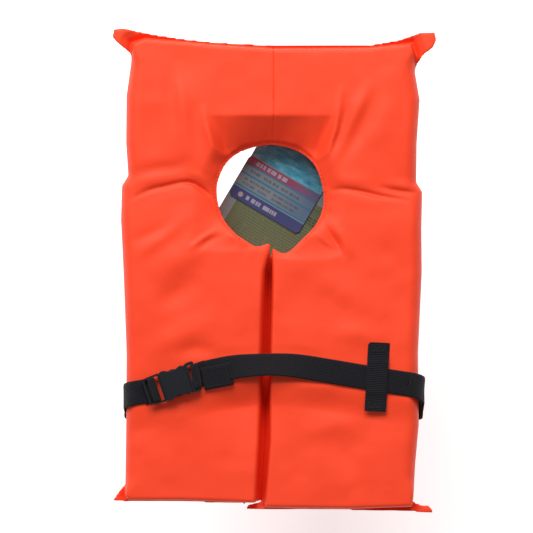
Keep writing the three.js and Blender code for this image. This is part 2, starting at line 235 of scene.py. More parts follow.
def nylon_material():
    """Plain-woven coated nylon: a fine square weave, faint slubs and a broad soft highlight."""
    n = Nodes("orange_nylon")
    threads = 700
    weave = n.times(n.wave(threads, "X"), n.wave(threads, "Y"))
    slub = n.noise(260, 3, 0.6, n.place((1, 6, 1)))
    crumple = n.noise(42, 4, 0.5)
    cloud = n.noise(9, 3, 0.55)
    colour = n.mix(cloud, (0.91, 0.045, 0.009, 1), (0.94, 0.056, 0.013, 1))
    colour = n.mix(n.times(slub, 0.08), colour, (1.0, 0.09, 0.03, 1))
    relief = n.plus(n.times(weave, 0.12), n.times(slub, 0.15))
    relief = n.plus(relief, n.times(crumple, 2.2))
    n.bump(relief, 0.35, 0.0006)
    rough = n.plus(n.times(slub, 0.1), 0.56)
    return n.shade(Base_Color=colour, Roughness=rough, Specular_IOR_Level=0.52,
                   Specular_Tint=(1, 0.78, 0.68, 1))


def webbing_material(name, pitch=2.1):
    """Black polypropylene webbing: ribs across it, split into columns along it."""
    n = Nodes(name)
    along_scale = 2 * math.pi / (20 * pitch * MM)
    uv = n.add("ShaderNodeTexCoord").outputs["UV"]
    rib = n.wave(along_scale, "X", uv)
    column = n.wave(along_scale * 1.15, "Y", uv)
    fuzz = n.noise(900, 2, 0.7)
    relief = n.plus(n.times(rib, 0.7), n.times(column, 0.35))
    relief = n.plus(relief, n.times(fuzz, 0.35))
    n.bump(relief, 1.0, 0.0009)
    shade = n.times(rib, column)
    colour = n.mix(n.times(shade, 0.8), (0.003, 0.003, 0.005, 1), (0.022, 0.0215, 0.030, 1))
    return n.shade(Base_Color=colour, Roughness=n.plus(n.times(fuzz, 0.15), 0.6),
                   Sheen_Weight=0.06, Specular_IOR_Level=0.2)


def plastic_material():
    """Moulded black acetal: satin, with a faint orange-peel."""
    n = Nodes("moulded_plastic")
    peel = n.noise(700, 2, 0.5)
    cloud = n.noise(60, 2, 0.5)
    n.bump(peel, 0.12, 0.0003)
    colour = n.mix(cloud, (0.005, 0.0055, 0.009, 1), (0.008, 0.0085, 0.013, 1))
    return n.shade(Base_Color=colour, Roughness=n.plus(n.times(peel, 0.12), 0.33),
                   Specular_IOR_Level=0.36)


def thread_material(name, colour, roughness=0.6):
    n = Nodes(name)
    twist = n.wave(1500, "DIAGONAL")
    n.bump(twist, 0.4, 0.0002)
    dark = tuple(c * 0.7 for c in colour[:3]) + (1,)
    return n.shade(Base_Color=n.mix(twist, dark, colour), Roughness=roughness)


def clear_material():
    n = Nodes("clear_nylon")
    haze = n.noise(300, 2, 0.5)
    colour = n.mix(haze, (0.75, 0.78, 0.8, 1), (0.85, 0.88, 0.9, 1))
    return n.shade(Base_Color=colour, Roughness=0.25, Transmission_Weight=0.6)


def satin_material():
    n = Nodes("label_satin")
    weave = n.wave(1200, "DIAGONAL")
    n.bump(weave, 0.3, 0.0002)
    colour = n.mix(weave, (0.74, 0.74, 0.77, 1), (0.86, 0.86, 0.88, 1))
    return n.shade(Base_Color=colour, Roughness=0.4)


def bars(n, u, v, period, share, low, high, seed):
    """1 inside a row of plain bars of uneven length between two heights, 0 elsewhere."""
    wobble = n.add("ShaderNodeTexNoise", {"Scale": 90.0, "Detail": 0.0, "W": seed},
                   noise_dimensions="1D")
    n.set(wobble.inputs["W"], n.plus(u, seed))
    moved = n.plus(n.math("DIVIDE", u, period * MM), n.times(wobble.outputs[0], 2.5))
    inside = n.math("LESS_THAN", n.math("FRACT", moved), share)
    above = n.math("GREATER_THAN", v, low * MM)
    below = n.math("LESS_THAN", v, high * MM)
    return n.times(inside, n.times(above, below))


def between(n, value, low, high):
    return n.times(n.math("GREATER_THAN", value, low * MM),
                  n.math("LESS_THAN", value, high * MM))


TAG_WIDTH, TAG_LENGTH = 93, 128
TAG_WATER = 54  # the water pattern starts this far up the card


def tag_material():
    """A printed card: coloured bands across it, a water pattern above, and plain bars for print.

    A row of bars is low, high, left, end, period and seed, all but the last in millimetres."""
    n = Nodes("hang_tag_card")
    uv, u, v = n.flat_place()
    # All the card's colours here, the inks and the water's too, are painted about half as bright as the
    # print: painted shade, for where the card lies deep under the neck hole.
    navy, teal, grey = (0.020, 0.028, 0.118, 1), (0.012, 0.115, 0.19, 1), (0.12, 0.15, 0.165, 1)
    line, pink = (0.14, 0.185, 0.21, 1), (0.20, 0.02, 0.07, 1)
    # each band's lower edge, up the card
    bands = [(0, navy), (13.5, line), (14.5, teal), (17, grey), (30, teal), (32.5, grey), (41.5, teal),
             (43.5, pink), (52.5, line), (TAG_WATER, teal)]
    stops = [(height / TAG_LENGTH, colour) for height, colour in bands]
    colour = n.ramp(n.math("DIVIDE", v, TAG_LENGTH * MM), stops, steps=True)
    # the grey and pink bands fade to blue towards the right edge
    fade_from, fade_over = 52, 36
    right = n.math("DIVIDE", n.math("SUBTRACT", u, fade_from * MM), fade_over * MM, clamp=True)
    fade = n.times(right, between(n, v, 17, TAG_WATER))
    colour = n.mix(n.times(fade, 0.75), colour, (0.03, 0.085, 0.17, 1))
    swirl = n.noise(55, 5, 0.65, n.add("ShaderNodeMapping", {"Vector": uv, "Scale": (1, 2.6, 1)}).outputs[0])
    water = n.ramp(swirl, [(0.3, (0.015, 0.11, 0.24, 1)), (0.46, (0.030, 0.25, 0.37, 1)),
                           (0.58, (0.080, 0.34, 0.44, 1)), (0.68, (0.24, 0.42, 0.48, 1))])
    colour = n.mix(n.math("GREATER_THAN", v, TAG_WATER * MM), colour, water)
    dark = (0.04, 0.045, 0.08, 1)
    small = ((19, 22.0, 7, 80, 4.2, 3.1), (24.5, 27.5, 7, 80, 4.6, 7.7), (35, 38.5, 7, 80, 5.0, 5.2))
    large = ((4.5, 9.5, 20, 62, 7.0, 1.3), (45.5, 50.5, 8, 52, 8.0, 4.4))
    for rows, share, strength, ink in ((small, 0.68, 0.7, dark), (large, 0.72, 0.75, (0.29, 0.29, 0.33, 1))):
        for low, high, left, end, period, seed in rows:
            row = n.times(bars(n, u, v, period, share, low, high, seed),
                         between(n, u, left, end))
            colour = n.mix(n.times(row, strength), colour, ink)
    spot_x, spot_y, spot_radius = 12.5, 6.8, 3.1
    off_spot = n.math("SQRT", n.plus(n.math("POWER", n.math("SUBTRACT", u, spot_x * MM), 2.0),
                                     n.math("POWER", n.math("SUBTRACT", v, spot_y * MM), 2.0)))
    colour = n.mix(n.math("LESS_THAN", off_spot, spot_radius * MM), colour, (0.25, 0.21, 0.21, 1))
    n.bump(n.noise(400, 2, 0.5), 0.1, 0.0001)
    return n.shade(Base_Color=colour, Roughness=0.42, Coat_Weight=0.2)


def leaflet_material():
    """A printed paper: a white margin and a yellow panel, both painted dark grey and olive as painted shade
    under the jacket, and plain grey lines for print.
    """
    n = Nodes("leaflet_paper")
    _, u, v = n.flat_place()
    fibre = n.noise(500, 3, 0.6)
    # The page's olive and the margin's grey are painted shade: the real page is yellow and its margin white.
    paper = n.mix(fibre, (0.075, 0.11, 0.052, 1), (0.092, 0.125, 0.055, 1))
    side_margin, top_margin = 13, 12
    panel = n.times(n.math("GREATER_THAN", u, side_margin * MM),
                   n.math("GREATER_THAN", v, top_margin * MM))
    colour = n.mix(panel, (0.15, 0.21, 0.22, 1), paper)
    for row in range(24):
        low = 18 + row * 3.4
        period, tall, left, strength = (5.2, 2.3, 19, 0.75) if row in (3, 4, 5) else (4.0, 1.1, 24, 0.5)
        line = bars(n, u, v, period, 0.74, low, low + tall, 2.3 + row * 1.7)
        line = n.times(line, between(n, u, left, 138 - (row * 13) % 31))
        colour = n.mix(n.times(line, strength), colour, (0.015, 0.018, 0.018, 1))
    n.bump(fibre, 0.15, 0.0002)
    return n.shade(Base_Color=colour, Roughness=0.8)


# ---------- meshes ----------


def make_object(name, points_mm, faces, material=None, smooth=True, uv_mm=None):
    mesh = bpy.data.meshes.new(name)
    mesh.from_pydata((np.asarray(points_mm, float) * MM).tolist(), [], [list(f) for f in faces])
    if uv_mm is not None:
        layer = mesh.uv_layers.new(name="flat")
        corner = np.zeros(len(mesh.loops), np.int32)
        mesh.loops.foreach_get("vertex_index", corner)
        layer.data.foreach_set("uv", (np.asarray(uv_mm, float)[corner] * MM).astype(np.float32).ravel())
    obj = bpy.data.objects.new(name, mesh)
    bpy.context.scene.collection.objects.link(obj)
    if smooth:
        mesh.shade_smooth()
    if material:
        mesh.materials.append(material)
    return obj


def ring_faces(rings, around, closed_ends=True, first=0):
    """Quads between rings of points, and a cap on each end."""
    faces = []
    for i in range(rings - 1):
        for j in range(around):
            k = (j + 1) % around
            base = first + i * around
            faces.append((base + j, base + k, base + around + k, base + around + j))
    if closed_ends:
        faces.append(tuple(first + j for j in reversed(range(around))))
        faces.append(tuple(first + (rings - 1) * around + j for j in range(around)))
    return faces


def spread(points, spacing):
    """The same line through its points, as even steps, with the distance run at each."""
    p = np.asarray(points, float)
    run = np.concatenate([[0], np.cumsum(np.linalg.norm(np.diff(p, axis=0), axis=1))])
    at = np.linspace(0, run[-1], max(2, int(round(run[-1] / spacing)) + 1))
    return np.stack([np.interp(at, run, p[:, i]) for i in range(p.shape[1])], 1), at


def bent(points):
    """A 3-D line through points; one given as (point, "corner") is only bent towards."""
    line = [np.array(points[0], float)]
    i = 1
    while i < len(points):
        if isinstance(points[i][1], str):
            corner, end = np.array(points[i][0], float), np.array(points[i + 1], float)
            start = line[-1]
            for t in np.linspace(0, 1, 13)[1:]:
                line.append((1 - t) ** 2 * start + 2 * t * (1 - t) * corner + t * t * end)
            i += 2
        else:
            line.append(np.array(points[i], float))
            i += 1
    return line


def strap_part(line, across, width, thick, twist=None, step=1.6):
    """Rings of a woven strap along a line. Its faces stay square to `across`, apart from a twist."""
    p, run = spread(line, step)
    along = np.gradient(p, axis=0)
    along /= np.linalg.norm(along, axis=1)[:, None]
    face = np.cross(along, np.array(across, float))
    face /= np.linalg.norm(face, axis=1)[:, None]
    side = np.cross(face, along)
    if twist is not None:
        angle = twist(p)[:, None]
        face, side = (face * np.cos(angle) + side * np.sin(angle),
                      side * np.cos(angle) - face * np.sin(angle))
    columns = np.linspace(-1, 1, 15)  # across the strap, which thins only at its two edges
    half = thick / 2 * np.sqrt(np.maximum(1 - np.abs(columns) ** 10, 0.08))
    loop_v = np.concatenate([columns, columns[::-1]]) * width / 2
    loop_h = np.concatenate([half, -half[::-1]])
    points = (p[:, None, :] + side[:, None, :] * loop_v[None, :, None]
              + face[:, None, :] * loop_h[None, :, None])
    uv = np.stack(np.broadcast_arrays(run[:, None], loop_v[None, :]), 2)
    return points.reshape(-1, 3), uv.reshape(-1, 2), len(run), len(loop_v)


def strap(name, parts, material):
    """One piece made of strap parts."""
    points, uvs, faces, first = [], [], [], 0
    for part_points, part_uv, rings, around in parts:
        points.append(part_points)
        uvs.append(part_uv)
        faces += ring_faces(rings, around, first=first)
        first += len(part_points)
    return make_object(name, np.concatenate(points), faces, material, uv_mm=np.concatenate(uvs))


def rods(name, lines, radius, material, around=6):
    """Rounded rods along short lines: stitches and threads."""
    points, faces, first = [], [], 0
    angle = np.linspace(0, 2 * np.pi, around, endpoint=False)
    for line in lines:
        p = np.asarray(line, float)
        along = np.gradient(p, axis=0)
        along /= np.linalg.norm(along, axis=1)[:, None]
        up = np.array([0, 0, 1.0]) if abs(along[:, 2]).max() < 0.9 else np.array([1.0, 0, 0])
        side = np.cross(along, up)
        side /= np.linalg.norm(side, axis=1)[:, None]
        face = np.cross(side, along)
        thick = np.full(len(p), radius)
        thick[[0, -1]] = radius * 0.35
        rings = (p[:, None, :] + side[:, None, :] * (np.cos(angle)[None, :, None] * thick[:, None, None])
                 + face[:, None, :] * (np.sin(angle)[None, :, None] * thick[:, None, None]))
        points.append(rings.reshape(-1, 3))
        faces += ring_faces(len(p), around, first=first)
        first += len(p) * around
    return make_object(name, np.concatenate(points), faces, material)


def stitch_line(line, length, gap, lift):
    """Short stitches along a 3-D line, each arched a little over the cloth."""
    p, run = spread(line, 0.5)
    found = []
    start = gap / 2
    while start + length < run[-1]:
        at = start + np.array([0, 0.15, 0.5, 0.85, 1]) * length
        stitch = np.stack([np.interp(at, run, p[:, i]) for i in range(3)], 1)
        stitch[:, 2] += lift * np.array([-0.6, 0.7, 1, 0.7, -0.6])
        found.append(stitch)
        start += length + gap
    return found


def turned(points, place):
    """Points in a piece's own frame, turned and put in place. Points may be 2-D or 3-D."""
    p = np.array(points, float)
    turn = math.radians(place["tilt"])
    x, y = p[:, 0].copy(), p[:, 1].copy()
    p[:, 0] = x * math.cos(turn) - y * math.sin(turn) + place["x"]
    p[:, 1] = x * math.sin(turn) + y * math.cos(turn) + place["y"]
    return p


def rounded_outline(corners, rounds, steps=5):
    """An outline whose corners are rounded; rounds is one size, or one for each corner."""
    if not hasattr(rounds, "__len__"):
        rounds = [rounds] * len(corners)
    out = []
    for i, (corner, size) in enumerate(zip(corners, rounds)):
        c = np.array(corner, float)
        before = np.array(corners[i - 1], float) - c
        after = np.array(corners[(i + 1) % len(corners)], float) - c
        size = min(size, np.linalg.norm(before) / 2, np.linalg.norm(after) / 2)
        enter = c + before / np.linalg.norm(before) * size
        leave = c + after / np.linalg.norm(after) * size
        for t in np.linspace(0, 1, steps if size > 0 else 1):
            out.append((1 - t) ** 2 * enter + 2 * t * (1 - t) * c + t * t * leave)
    return out


def prism(name, corners, low, high, place, material=None):
    flat = turned(corners, place)
    count = len(flat)
    points = [(x, y, low) for x, y in flat] + [(x, y, high) for x, y in flat]
    sides = [(i, (i + 1) % count, count + (i + 1) % count, count + i) for i in range(count)]
    caps = [tuple(reversed(range(count))), tuple(range(count, 2 * count))]
    return make_object(name, points, sides + caps, material, smooth=False)


def apply_modifiers(obj):
    bpy.context.view_layer.update()
    shown = obj.evaluated_get(bpy.context.evaluated_depsgraph_get())
    mesh = bpy.data.meshes.new_from_object(shown)
    obj.modifiers.clear()
    obj.data = mesh


def combine(obj, others, operation):
    for other in others:
        step = obj.modifiers.new("part", "BOOLEAN")
        step.operation = operation
        step.object = other
        step.solver = "EXACT"
        apply_modifiers(obj)
        bpy.data.objects.remove(other)


def soften(obj, width, segments=3, angle=30):
    """Moulded edges: a bevel, then smooth faces."""
    step = obj.modifiers.new("edges", "BEVEL")
    step.width = width * MM
    step.segments = segments
    step.limit_method = "ANGLE"
    step.angle_limit = math.radians(angle)
    step.harden_normals = False
    apply_modifiers(obj)
    obj.data.shade_smooth()
    step = obj.modifiers.new("normals", "WEIGHTED_NORMAL")
    step.keep_sharp = False
    apply_modifiers(obj)


# ---------- the cloth shell, as a field ----------
# Each half of the shell is the surface where a field is zero. The field swells two layers of
# cloth over the foam, pinches them at the outline, and carries the folds.

# The padded outline of each half. It runs on past the slit and the neck hole, which cut it.
LEFT_BODY = [(90, 259), (0, 259.5), (-67, 263.5), (-100, 266.5), (-150, 271), (-166, 266),
             (-167, 244), (-172.5, 205), (-173, 150), (-170.5, 112), (-178, 100), (-179, 60),
             (-176, 0), (-172.5, -95), (-173, -180), (-174, -262), (-168, -267), (-110, -266.5),
             (0, -270.5), (90, -272)]
RIGHT_BODY = [(-90, 259), (0, 259.5), (110, 260), (145, 264), (160, 266), (165, 252), (164.5, 232),
              (170, 200), (166.5, 150), (166, 104), (173, 93), (172, 50), (172.5, 0), (168, -95),
              (169, -178), (165, -222), (162.5, -262), (161, -274), (90, -276.5), (-8, -275),
              (-90, -274)]
# The sewn edge, which stands out beyond the padding and runs to a point at the corners.
LEFT_FIN = [(90, 262), (0, 262.7), (-67, 266.2), (-100, 269.5), (-122, 272.5), (-148, 276.5),
            (-176, 282), (-186, 280.5), (-187.5, 272), (-183, 266), (-166, 252), (-150, 235),
            (-150, -232), (-171, -246), (-181, -256), (-188.5, -267), (-172, -269), (-110, -269),
            (-34, -271.6), (-28, -250), (-60, 62), (90, 62)]
RIGHT_FIN = [(-90, 262), (0, 262.7), (110, 263), (146, 269), (168, 276.5), (186, 277.5),
             (187.8, 268), (184, 259.5), (172, 250), (165.5, 238), (150, 220), (150, -245),
             (160, -268), (172, -272.5), (180, -272), (186, -280), (184, -282), (158, -280),
             (90, -279), (-4, -278.5), (-33, -277.5), (-31.5, -273.5), (-14, -269), (20, -250),
             (40, 62), (-90, 62)]
NECK = [(-4, 147.8), (-32, 142.5), (-52, 130), (-64, 109), (-66.5, 90), (-61, 66), (-48, 47.5),
        (-34, 36.8), (-21, 29.5), (-8, 32.6), (-3.4, 33), (-1, 27), (13.7, 21.6), (31, 36.6),
        (48, 55), (56.5, 76), (56, 97), (50, 117), (40, 131.5), (22, 142.5)]
# Round the neck hole the cloth has no foam in it, as far as this outline.
FOAM_EDGE = [(-79, 181), (-72, 148), (-94, 102), (-96, 62), (-92, 26), (-10, 23), (0, 15), (76, 17),
             (82, 60), (85, 100), (63, 148), (73, 181)]
# The slit's two sides, as (y, x) from the foot up. Lower down the panels bulge and nearly meet.
SLIT_LEFT = [(-280, -20), (-262, -19), (-197, -15.5), (-92, -13), (0, -10.5), (12, -8), (34, -2.8)]
SLIT_RIGHT = [(-280, -12), (-262, -11), (-197, -6), (-92, -5), (-15, -2.8), (12, -2.4), (34, -2.6)]

GRID_STEP = 1.5
GRID_X = {-1: (-205.0, 12.0), 1: (-50.0, 205.0)}  # by side
SIDE_ROUND, END_ROUND = 17, 5  # how the padding's edges are rounded: at the sides, at top and foot
RIM_RISE = 15  # beside and below the neck hole its rim lies this much nearer the front
SLIT_ROUND = {-1: 7, 1: 3.2}  # by side: the left panel rolls in, and the right one is crisp
BACK_SLIT_ROUND = 4
BELOW_RISE = 12.6  # and below it, by this much more
DIP_TOP, DIP_LEFT, DIP_RIGHT = 181, -80, 74  # the corners of the dip above the neck hole
DIP_LEAN = 0.28  # how far its sides lean in, for each step down
RIM_RADIUS = 61  # the rim's arc at the foot of the dip
SHOULDER_DROP = 3.2  # how much lower the front is along the shoulder fold
SLIT_OPEN_Z, SLIT_SHUT_Z = 30, 17  # the slit narrows between these heights
SLIT_OVERLAP = 0.9  # how far each half runs past the slit's middle, low down
SEAM_GAP = 0.7  # each half of the collar starts to round off this far from the centre seam
SEAM_OVERLAP = 2.4  # how far each half of the collar runs under the other at the centre seam
PUFF = 2.5  # exponent of the cloth's cross-section near an edge: 2 is round, more is boxy
FLANGE = 1.7  # half thickness of the sewn rim of the neck hole
HEM = 2.6  # width of the hem round the neck hole, where its stitches run
RIM_ROUND = 2.2  # how the hem's own edge is rounded
FIN_HALF = 1.4  # half thickness of the sewn edge
FIN_BLEND = 3  # how softly the sewn edge grows out of the padding
BACK_BELT_Y = -163
DISH_RADIUS, DISH_DEPTH = 137, 3.4  # the shallow hollow in the back, where the tags lie
BELT_EDGE = [(-170, -160), (-118, -146), (-66, -132), (-20, -126), (25, -127), (60, -133), (118, -141),
             (164, -149)]  # the belt's lower edge, as (x, y): the cloth falls away below it
# How far the cloth sags below the belt: everywhere, and more round these places (x, reach, depth).
SAG = 3.4
SAG_PLACES = [(-40, 34, 8.4), (70, 36, 5.4)]
# The groove that the belt presses into the back. It is deeper on the left, where the belt's two
# ends lie on each other and the left one slides out aslant: middle, reach, depth and boxiness.
LAP_END_X = -55
LAP_GROOVE = (BACK_BELT_Y - 5, 27, 5.4, 6)
GROOVE = (BACK_BELT_Y, 19, 3.6, 4)

# Folds in the cloth: the points a fold runs through, half its width, and its height. A
# negative height is a valley. Points are in the plane of the front face.
FOLDS = [
    # the left shoulder: a crease with a roll above it and another below
    ([(-170, 82), (-145, 94), (-125, 99), (-107, 103), (-94, 102), (-82, 94), (-67, 83)], 2.6, -3.2),
    ([(-108, 104), (-94, 102), (-80, 92), (-66, 80)], 3.0, -2.8),
    ([(-172, 96), (-145, 106), (-122, 110), (-100, 114)], 9, 2.2),
    ([(-104, 114), (-90, 112), (-78, 104), (-66, 94)], 4.5, 1.6),
    ([(-150, 76), (-122, 86), (-98, 90), (-82, 80), (-70, 70)], 8, 0.9),
    ([(-168, 112), (-135, 118), (-110, 122), (-96, 134)], 7, -2.0),
    # the right shoulder
    ([(58, 86), (66, 93), (80, 95.5), (103, 92), (125, 87), (158, 82)], 2.6, -3.2),
    ([(118, 99), (138, 94), (156, 91.5), (174, 90)], 3.0, -3.0),
    ([(62, 106), (90, 105), (116, 100)], 8, 1.8),
    ([(128, 105), (150, 100), (168, 99)], 5, 1.4),
    ([(66, 80), (84, 84), (110, 80), (140, 74)], 8, 0.9),
    # ridges and hollows that run from the collar's foam to the neck hole
    ([(-84, 194), (-80, 178), (-75, 156), (-68, 136)], 4.6, 2.9),
    ([(-92, 196), (-93, 170), (-86, 140), (-78, 118)], 8, -1.8),
    ([(-114, 244), (-107, 200), (-103, 162), (-97, 130)], 8, 2.6),
    ([(-120, 240), (-120, 200), (-119, 160)], 9, -1.6),
    ([(-138, 196), (-141, 160), (-136, 132)], 16, -1.8),
    ([(79, 218), (75, 192), (69, 158), (59, 130)], 4.4, 3.2),
    ([(87, 196), (79, 168), (68, 142), (60, 124)], 4.5, -3.0),
    ([(113, 224), (94, 184), (76, 152)], 7, 2.8),
    ([(122, 212), (104, 172), (86, 140), (68, 116)], 8, -2.6),
    ([(140, 200), (122, 166), (104, 134)], 12, 1.6),
    ([(126, 238), (134, 190), (130, 136)], 20, 2.2),
    # the chest panels, above the belt
    ([(-172, 34), (-140, 44), (-110, 60)], 7, -1.8),
    ([(-172, 12), (-142, 30), (-112, 54), (-90, 66)], 9, 2.6),
    ([(-100, 24), (-84, 38), (-64, 50)], 3.0, 2.2),
    ([(-92, 22), (-74, 36), (-58, 42)], 3.0, -1.8),
    ([(-150, -8), (-112, 14), (-74, 36)], 17, 4.0),
    ([(-150, -92), (-104, -72), (-56, -48)], 15, 2.6),
    ([(-118, -98), (-96, -90), (-66, -92)], 9, -2.2),
    ([(-140, -46), (-112, -24), (-82, -6)], 13, -2.6),
    ([(54, 58), (70, 36), (82, 12)], 3.2, -2.6),
    ([(46, 50), (60, 34), (76, 26)], 3.0, 1.8),
    ([(64, 60), (80, 38), (92, 14)], 5.0, 2.0),
    ([(40, -12), (84, -22), (124, -60)], 16, 2.6),
    ([(60, -76), (100, -72), (136, -84)], 12, 2.4),
    # below the belt
    ([(-150, -172), (-112, -168), (-84, -158)], 14, 1.8),
    ([(24, -192), (70, -176), (112, -176)], 16, 2.2),
    ([(30, -206), (60, -228), (90, -250)], 18, 1.4),
    ([(66, -178), (80, -206), (90, -244)], 13, -2.4),
]


def to_polygon(x, y, corners):
    """Signed distance to a polygon: positive inside."""
    best = np.full(x.shape, 1e9)
    inside = np.zeros(x.shape, bool)
    for (ax, ay), (bx, by) in zip(corners, corners[1:] + corners[:1]):
        ex, ey = bx - ax, by - ay
        t = np.clip(((x - ax) * ex + (y - ay) * ey) / (ex * ex + ey * ey), 0, 1)
        best = np.minimum(best, np.hypot(x - ax - t * ex, y - ay - t * ey))
        crosses = ((ay > y) != (by > y)) & (x < (bx - ax) * (y - ay) / ((by - ay) or 1e-9) + ax)
        inside ^= crosses
    return np.where(inside, best, -best)


def to_line(x, y, points):
    """Distance to an open line through points, and the share of its length at the nearest one."""
    best = np.full(x.shape, 1e9)
    share = np.zeros(x.shape)
    lengths = [math.dist(a, b) for a, b in zip(points, points[1:])]
    done = 0
    for (ax, ay), (bx, by), length in zip(points, points[1:], lengths):
        ex, ey = bx - ax, by - ay
        t = np.clip(((x - ax) * ex + (y - ay) * ey) / (length * length), 0, 1)
        far = np.hypot(x - ax - t * ex, y - ay - t * ey)
        nearer = far < best
        share = np.where(nearer, (done + t * length) / sum(lengths), share)
        best = np.where(nearer, far, best)
        done += length
    return best, share


def curved(points, pieces=6, closed=False):
    """The points of a Catmull-Rom curve through the given ones."""
    p = [np.array(q, float) for q in points]
    p = [p[-1]] + p + [p[0], p[1]] if closed else [p[0]] + p + [p[-1]]
    out = []
    for a, b, c, d in zip(p, p[1:], p[2:], p[3:]):
        for t in np.linspace(0, 1, pieces, endpoint=False):
            out.append(0.5 * (2 * b + (c - a) * t + (2 * a - 5 * b + 4 * c - d) * t * t
                              + (3 * b - a - 3 * c + d) * t ** 3))
    if not closed:
        out.append(p[-1])
    return [tuple(q) for q in out]


def folds_height(x, y):
    total = np.zeros(x.shape)
    for points, width, height in FOLDS:
        far, share = to_line(x, y, curved(points, 4))
        taper = np.sin(np.pi * np.clip(share, 0, 1)) ** 1.1
        total += height * taper * np.exp(-((far / width) ** 2))
    return total


def value_noise(x, y, cell, seed):
    """Smooth noise from -1 to 1, with features about `cell` across."""
    table = np.random.default_rng(seed).uniform(-1, 1, (64, 64))
    u, v = x / cell + 17.3, y / cell + 31.7
    i, j = np.floor(u).astype(int), np.floor(v).astype(int)
    s, t = u - i, v - j
    s, t = s * s * (3 - 2 * s), t * t * (3 - 2 * t)

    def corner(a, b):
        return table[(i + a) % 64, (j + b) % 64]

    low = corner(0, 0) * (1 - s) + corner(1, 0) * s
    high = corner(0, 1) * (1 - s) + corner(1, 1) * s
    return low * (1 - t) + high * t


def smooth(low, high, value):
    t = np.clip((value - low) / (high - low), 0, 1)
    return t * t * (3 - 2 * t)


def dip(x, y):
    """Above the neck hole the cloth slopes from the foam's edge to the rim, as a share of full height."""
    sideways = np.minimum(np.abs(x - NECK_X), 50)
    rim = NECK_Y + np.sqrt(RIM_RADIUS ** 2 - sideways ** 2)
    slope = np.clip((y - rim) / (DIP_TOP - rim), 0, 1)
    down = np.maximum(DIP_TOP - y, 0)
    inside = np.minimum(x - (DIP_LEFT + down * DIP_LEAN), DIP_RIGHT - down * DIP_LEAN - x)
    return 1 - (1 - slope) * smooth(-2, 15, inside) * smooth(92, 138, y)


def hump(far, reach, power=2):
    """1 where `far` is 0, falling to 0 on both sides."""
    return np.exp(-((far / reach) ** power))


def share_of_padding(x, y, past_rim):
    """How much of its full height the padding has: nothing at the rim, all of it over the foam."""
    to_foam = to_polygon(x, y, curved(FOAM_EDGE, 4, closed=True))
    sloped = np.maximum(past_rim - HEM, 0)
    share = np.where(to_foam < 0, 1, sloped / (sloped + np.maximum(to_foam, 0) + 1e-6))
    return np.where(past_rim < 0, 0, share)


def front_height(x, y, past_rim, share, middle):
    full = SLAB + 0.3 - middle
    shoulder = SHOULDER_DROP * hump(y - FOLD_Y - 6, 26)
    padding = full - shoulder + 1.5 * value_noise(x, y, 46, 1) + 0.4 * value_noise(x, y, 17, 3)
    eased = 1 - (1 - share) ** 2
    crisp = 0.5 * smooth(48, 24, y)  # the foam's edge shows below the hole, and is soft beside it
    share = np.minimum(crisp * share ** 0.85 + (1 - crisp) * eased, dip(x, y))
    front = FLANGE + (padding - FLANGE) * share
    front += folds_height(x, y) * smooth(0, 14, past_rim)
    past_belt = np.interp(x, *zip(*BELT_EDGE)) - y
    sag = SAG + sum(depth * hump(x - place, reach) for place, reach, depth in SAG_PLACES)
    front -= sag * smooth(-4, 30, past_belt) * np.exp(-np.maximum(past_belt - 30, 0) / 70)
    # under the belt itself the cloth stays just below the webbing
    under_belt = smooth(-44, -32, past_belt) * smooth(6, -4, past_belt)
    return front - np.maximum(middle + front - SLAB + 0.2, 0) * under_belt


def back_height(x, y, past_rim, share, middle):
    back = middle - 0.8 - 3 * hump(y - FOLD_Y, 20) - 0.8 * np.abs(value_noise(x, y, 40, 2))
    back -= DISH_DEPTH * smooth(DISH_RADIUS + 8, DISH_RADIUS - 6, np.hypot(x - NECK_X, y - NECK_Y))
    back = FLANGE + (back - FLANGE) * share
    back -= 7 * hump(y - FOLD_Y, 7) * smooth(0, 14, past_rim)
    lap, single = (depth * hump(np.abs(y - place), reach, power)
                   for place, reach, depth, power in (LAP_GROOVE, GROOVE))
    return back - np.where(x < LAP_END_X, lap, single) * smooth(20, 40, past_rim)


def half_heights(x, y, past_rim):
    """The height where the two layers of cloth would meet, and how far each stands off it."""
    share = share_of_padding(x, y, past_rim)
    rise = (RIM_RISE + BELOW_RISE * smooth(70, 36, y)) * smooth(146, 112, y)
    middle = MIDDLE + rise * hump(np.maximum(past_rim, 0), 34)
    angle = np.arctan2(y - NECK_Y, x - NECK_X)
    pucker = 0.55 * np.sin(23 * angle + 2 * np.sin(3 * angle)) * np.exp(-np.maximum(past_rim, 0) / 9)
    rim_detail = pucker * smooth(HEM, HEM + 3, past_rim) - 0.7 * hump(past_rim - HEM, 1.1)
    front = front_height(x, y, past_rim, share, middle) + rim_detail
    back = back_height(x, y, past_rim, share, middle) + rim_detail
    return middle, np.maximum(front, FLANGE * 0.6), np.maximum(back, FLANGE * 0.6)


def slit_edge(y, side, depth):
    """Where a panel's slit side is: at the front face depth is 0, and at the middle it is 1."""
    left = np.interp(y, *zip(*SLIT_LEFT))
    right = np.interp(y, *zip(*SLIT_RIGHT))
    own = left if side < 0 else right
    return own + ((left + right) / 2 - side * SLIT_OVERLAP - own) * depth


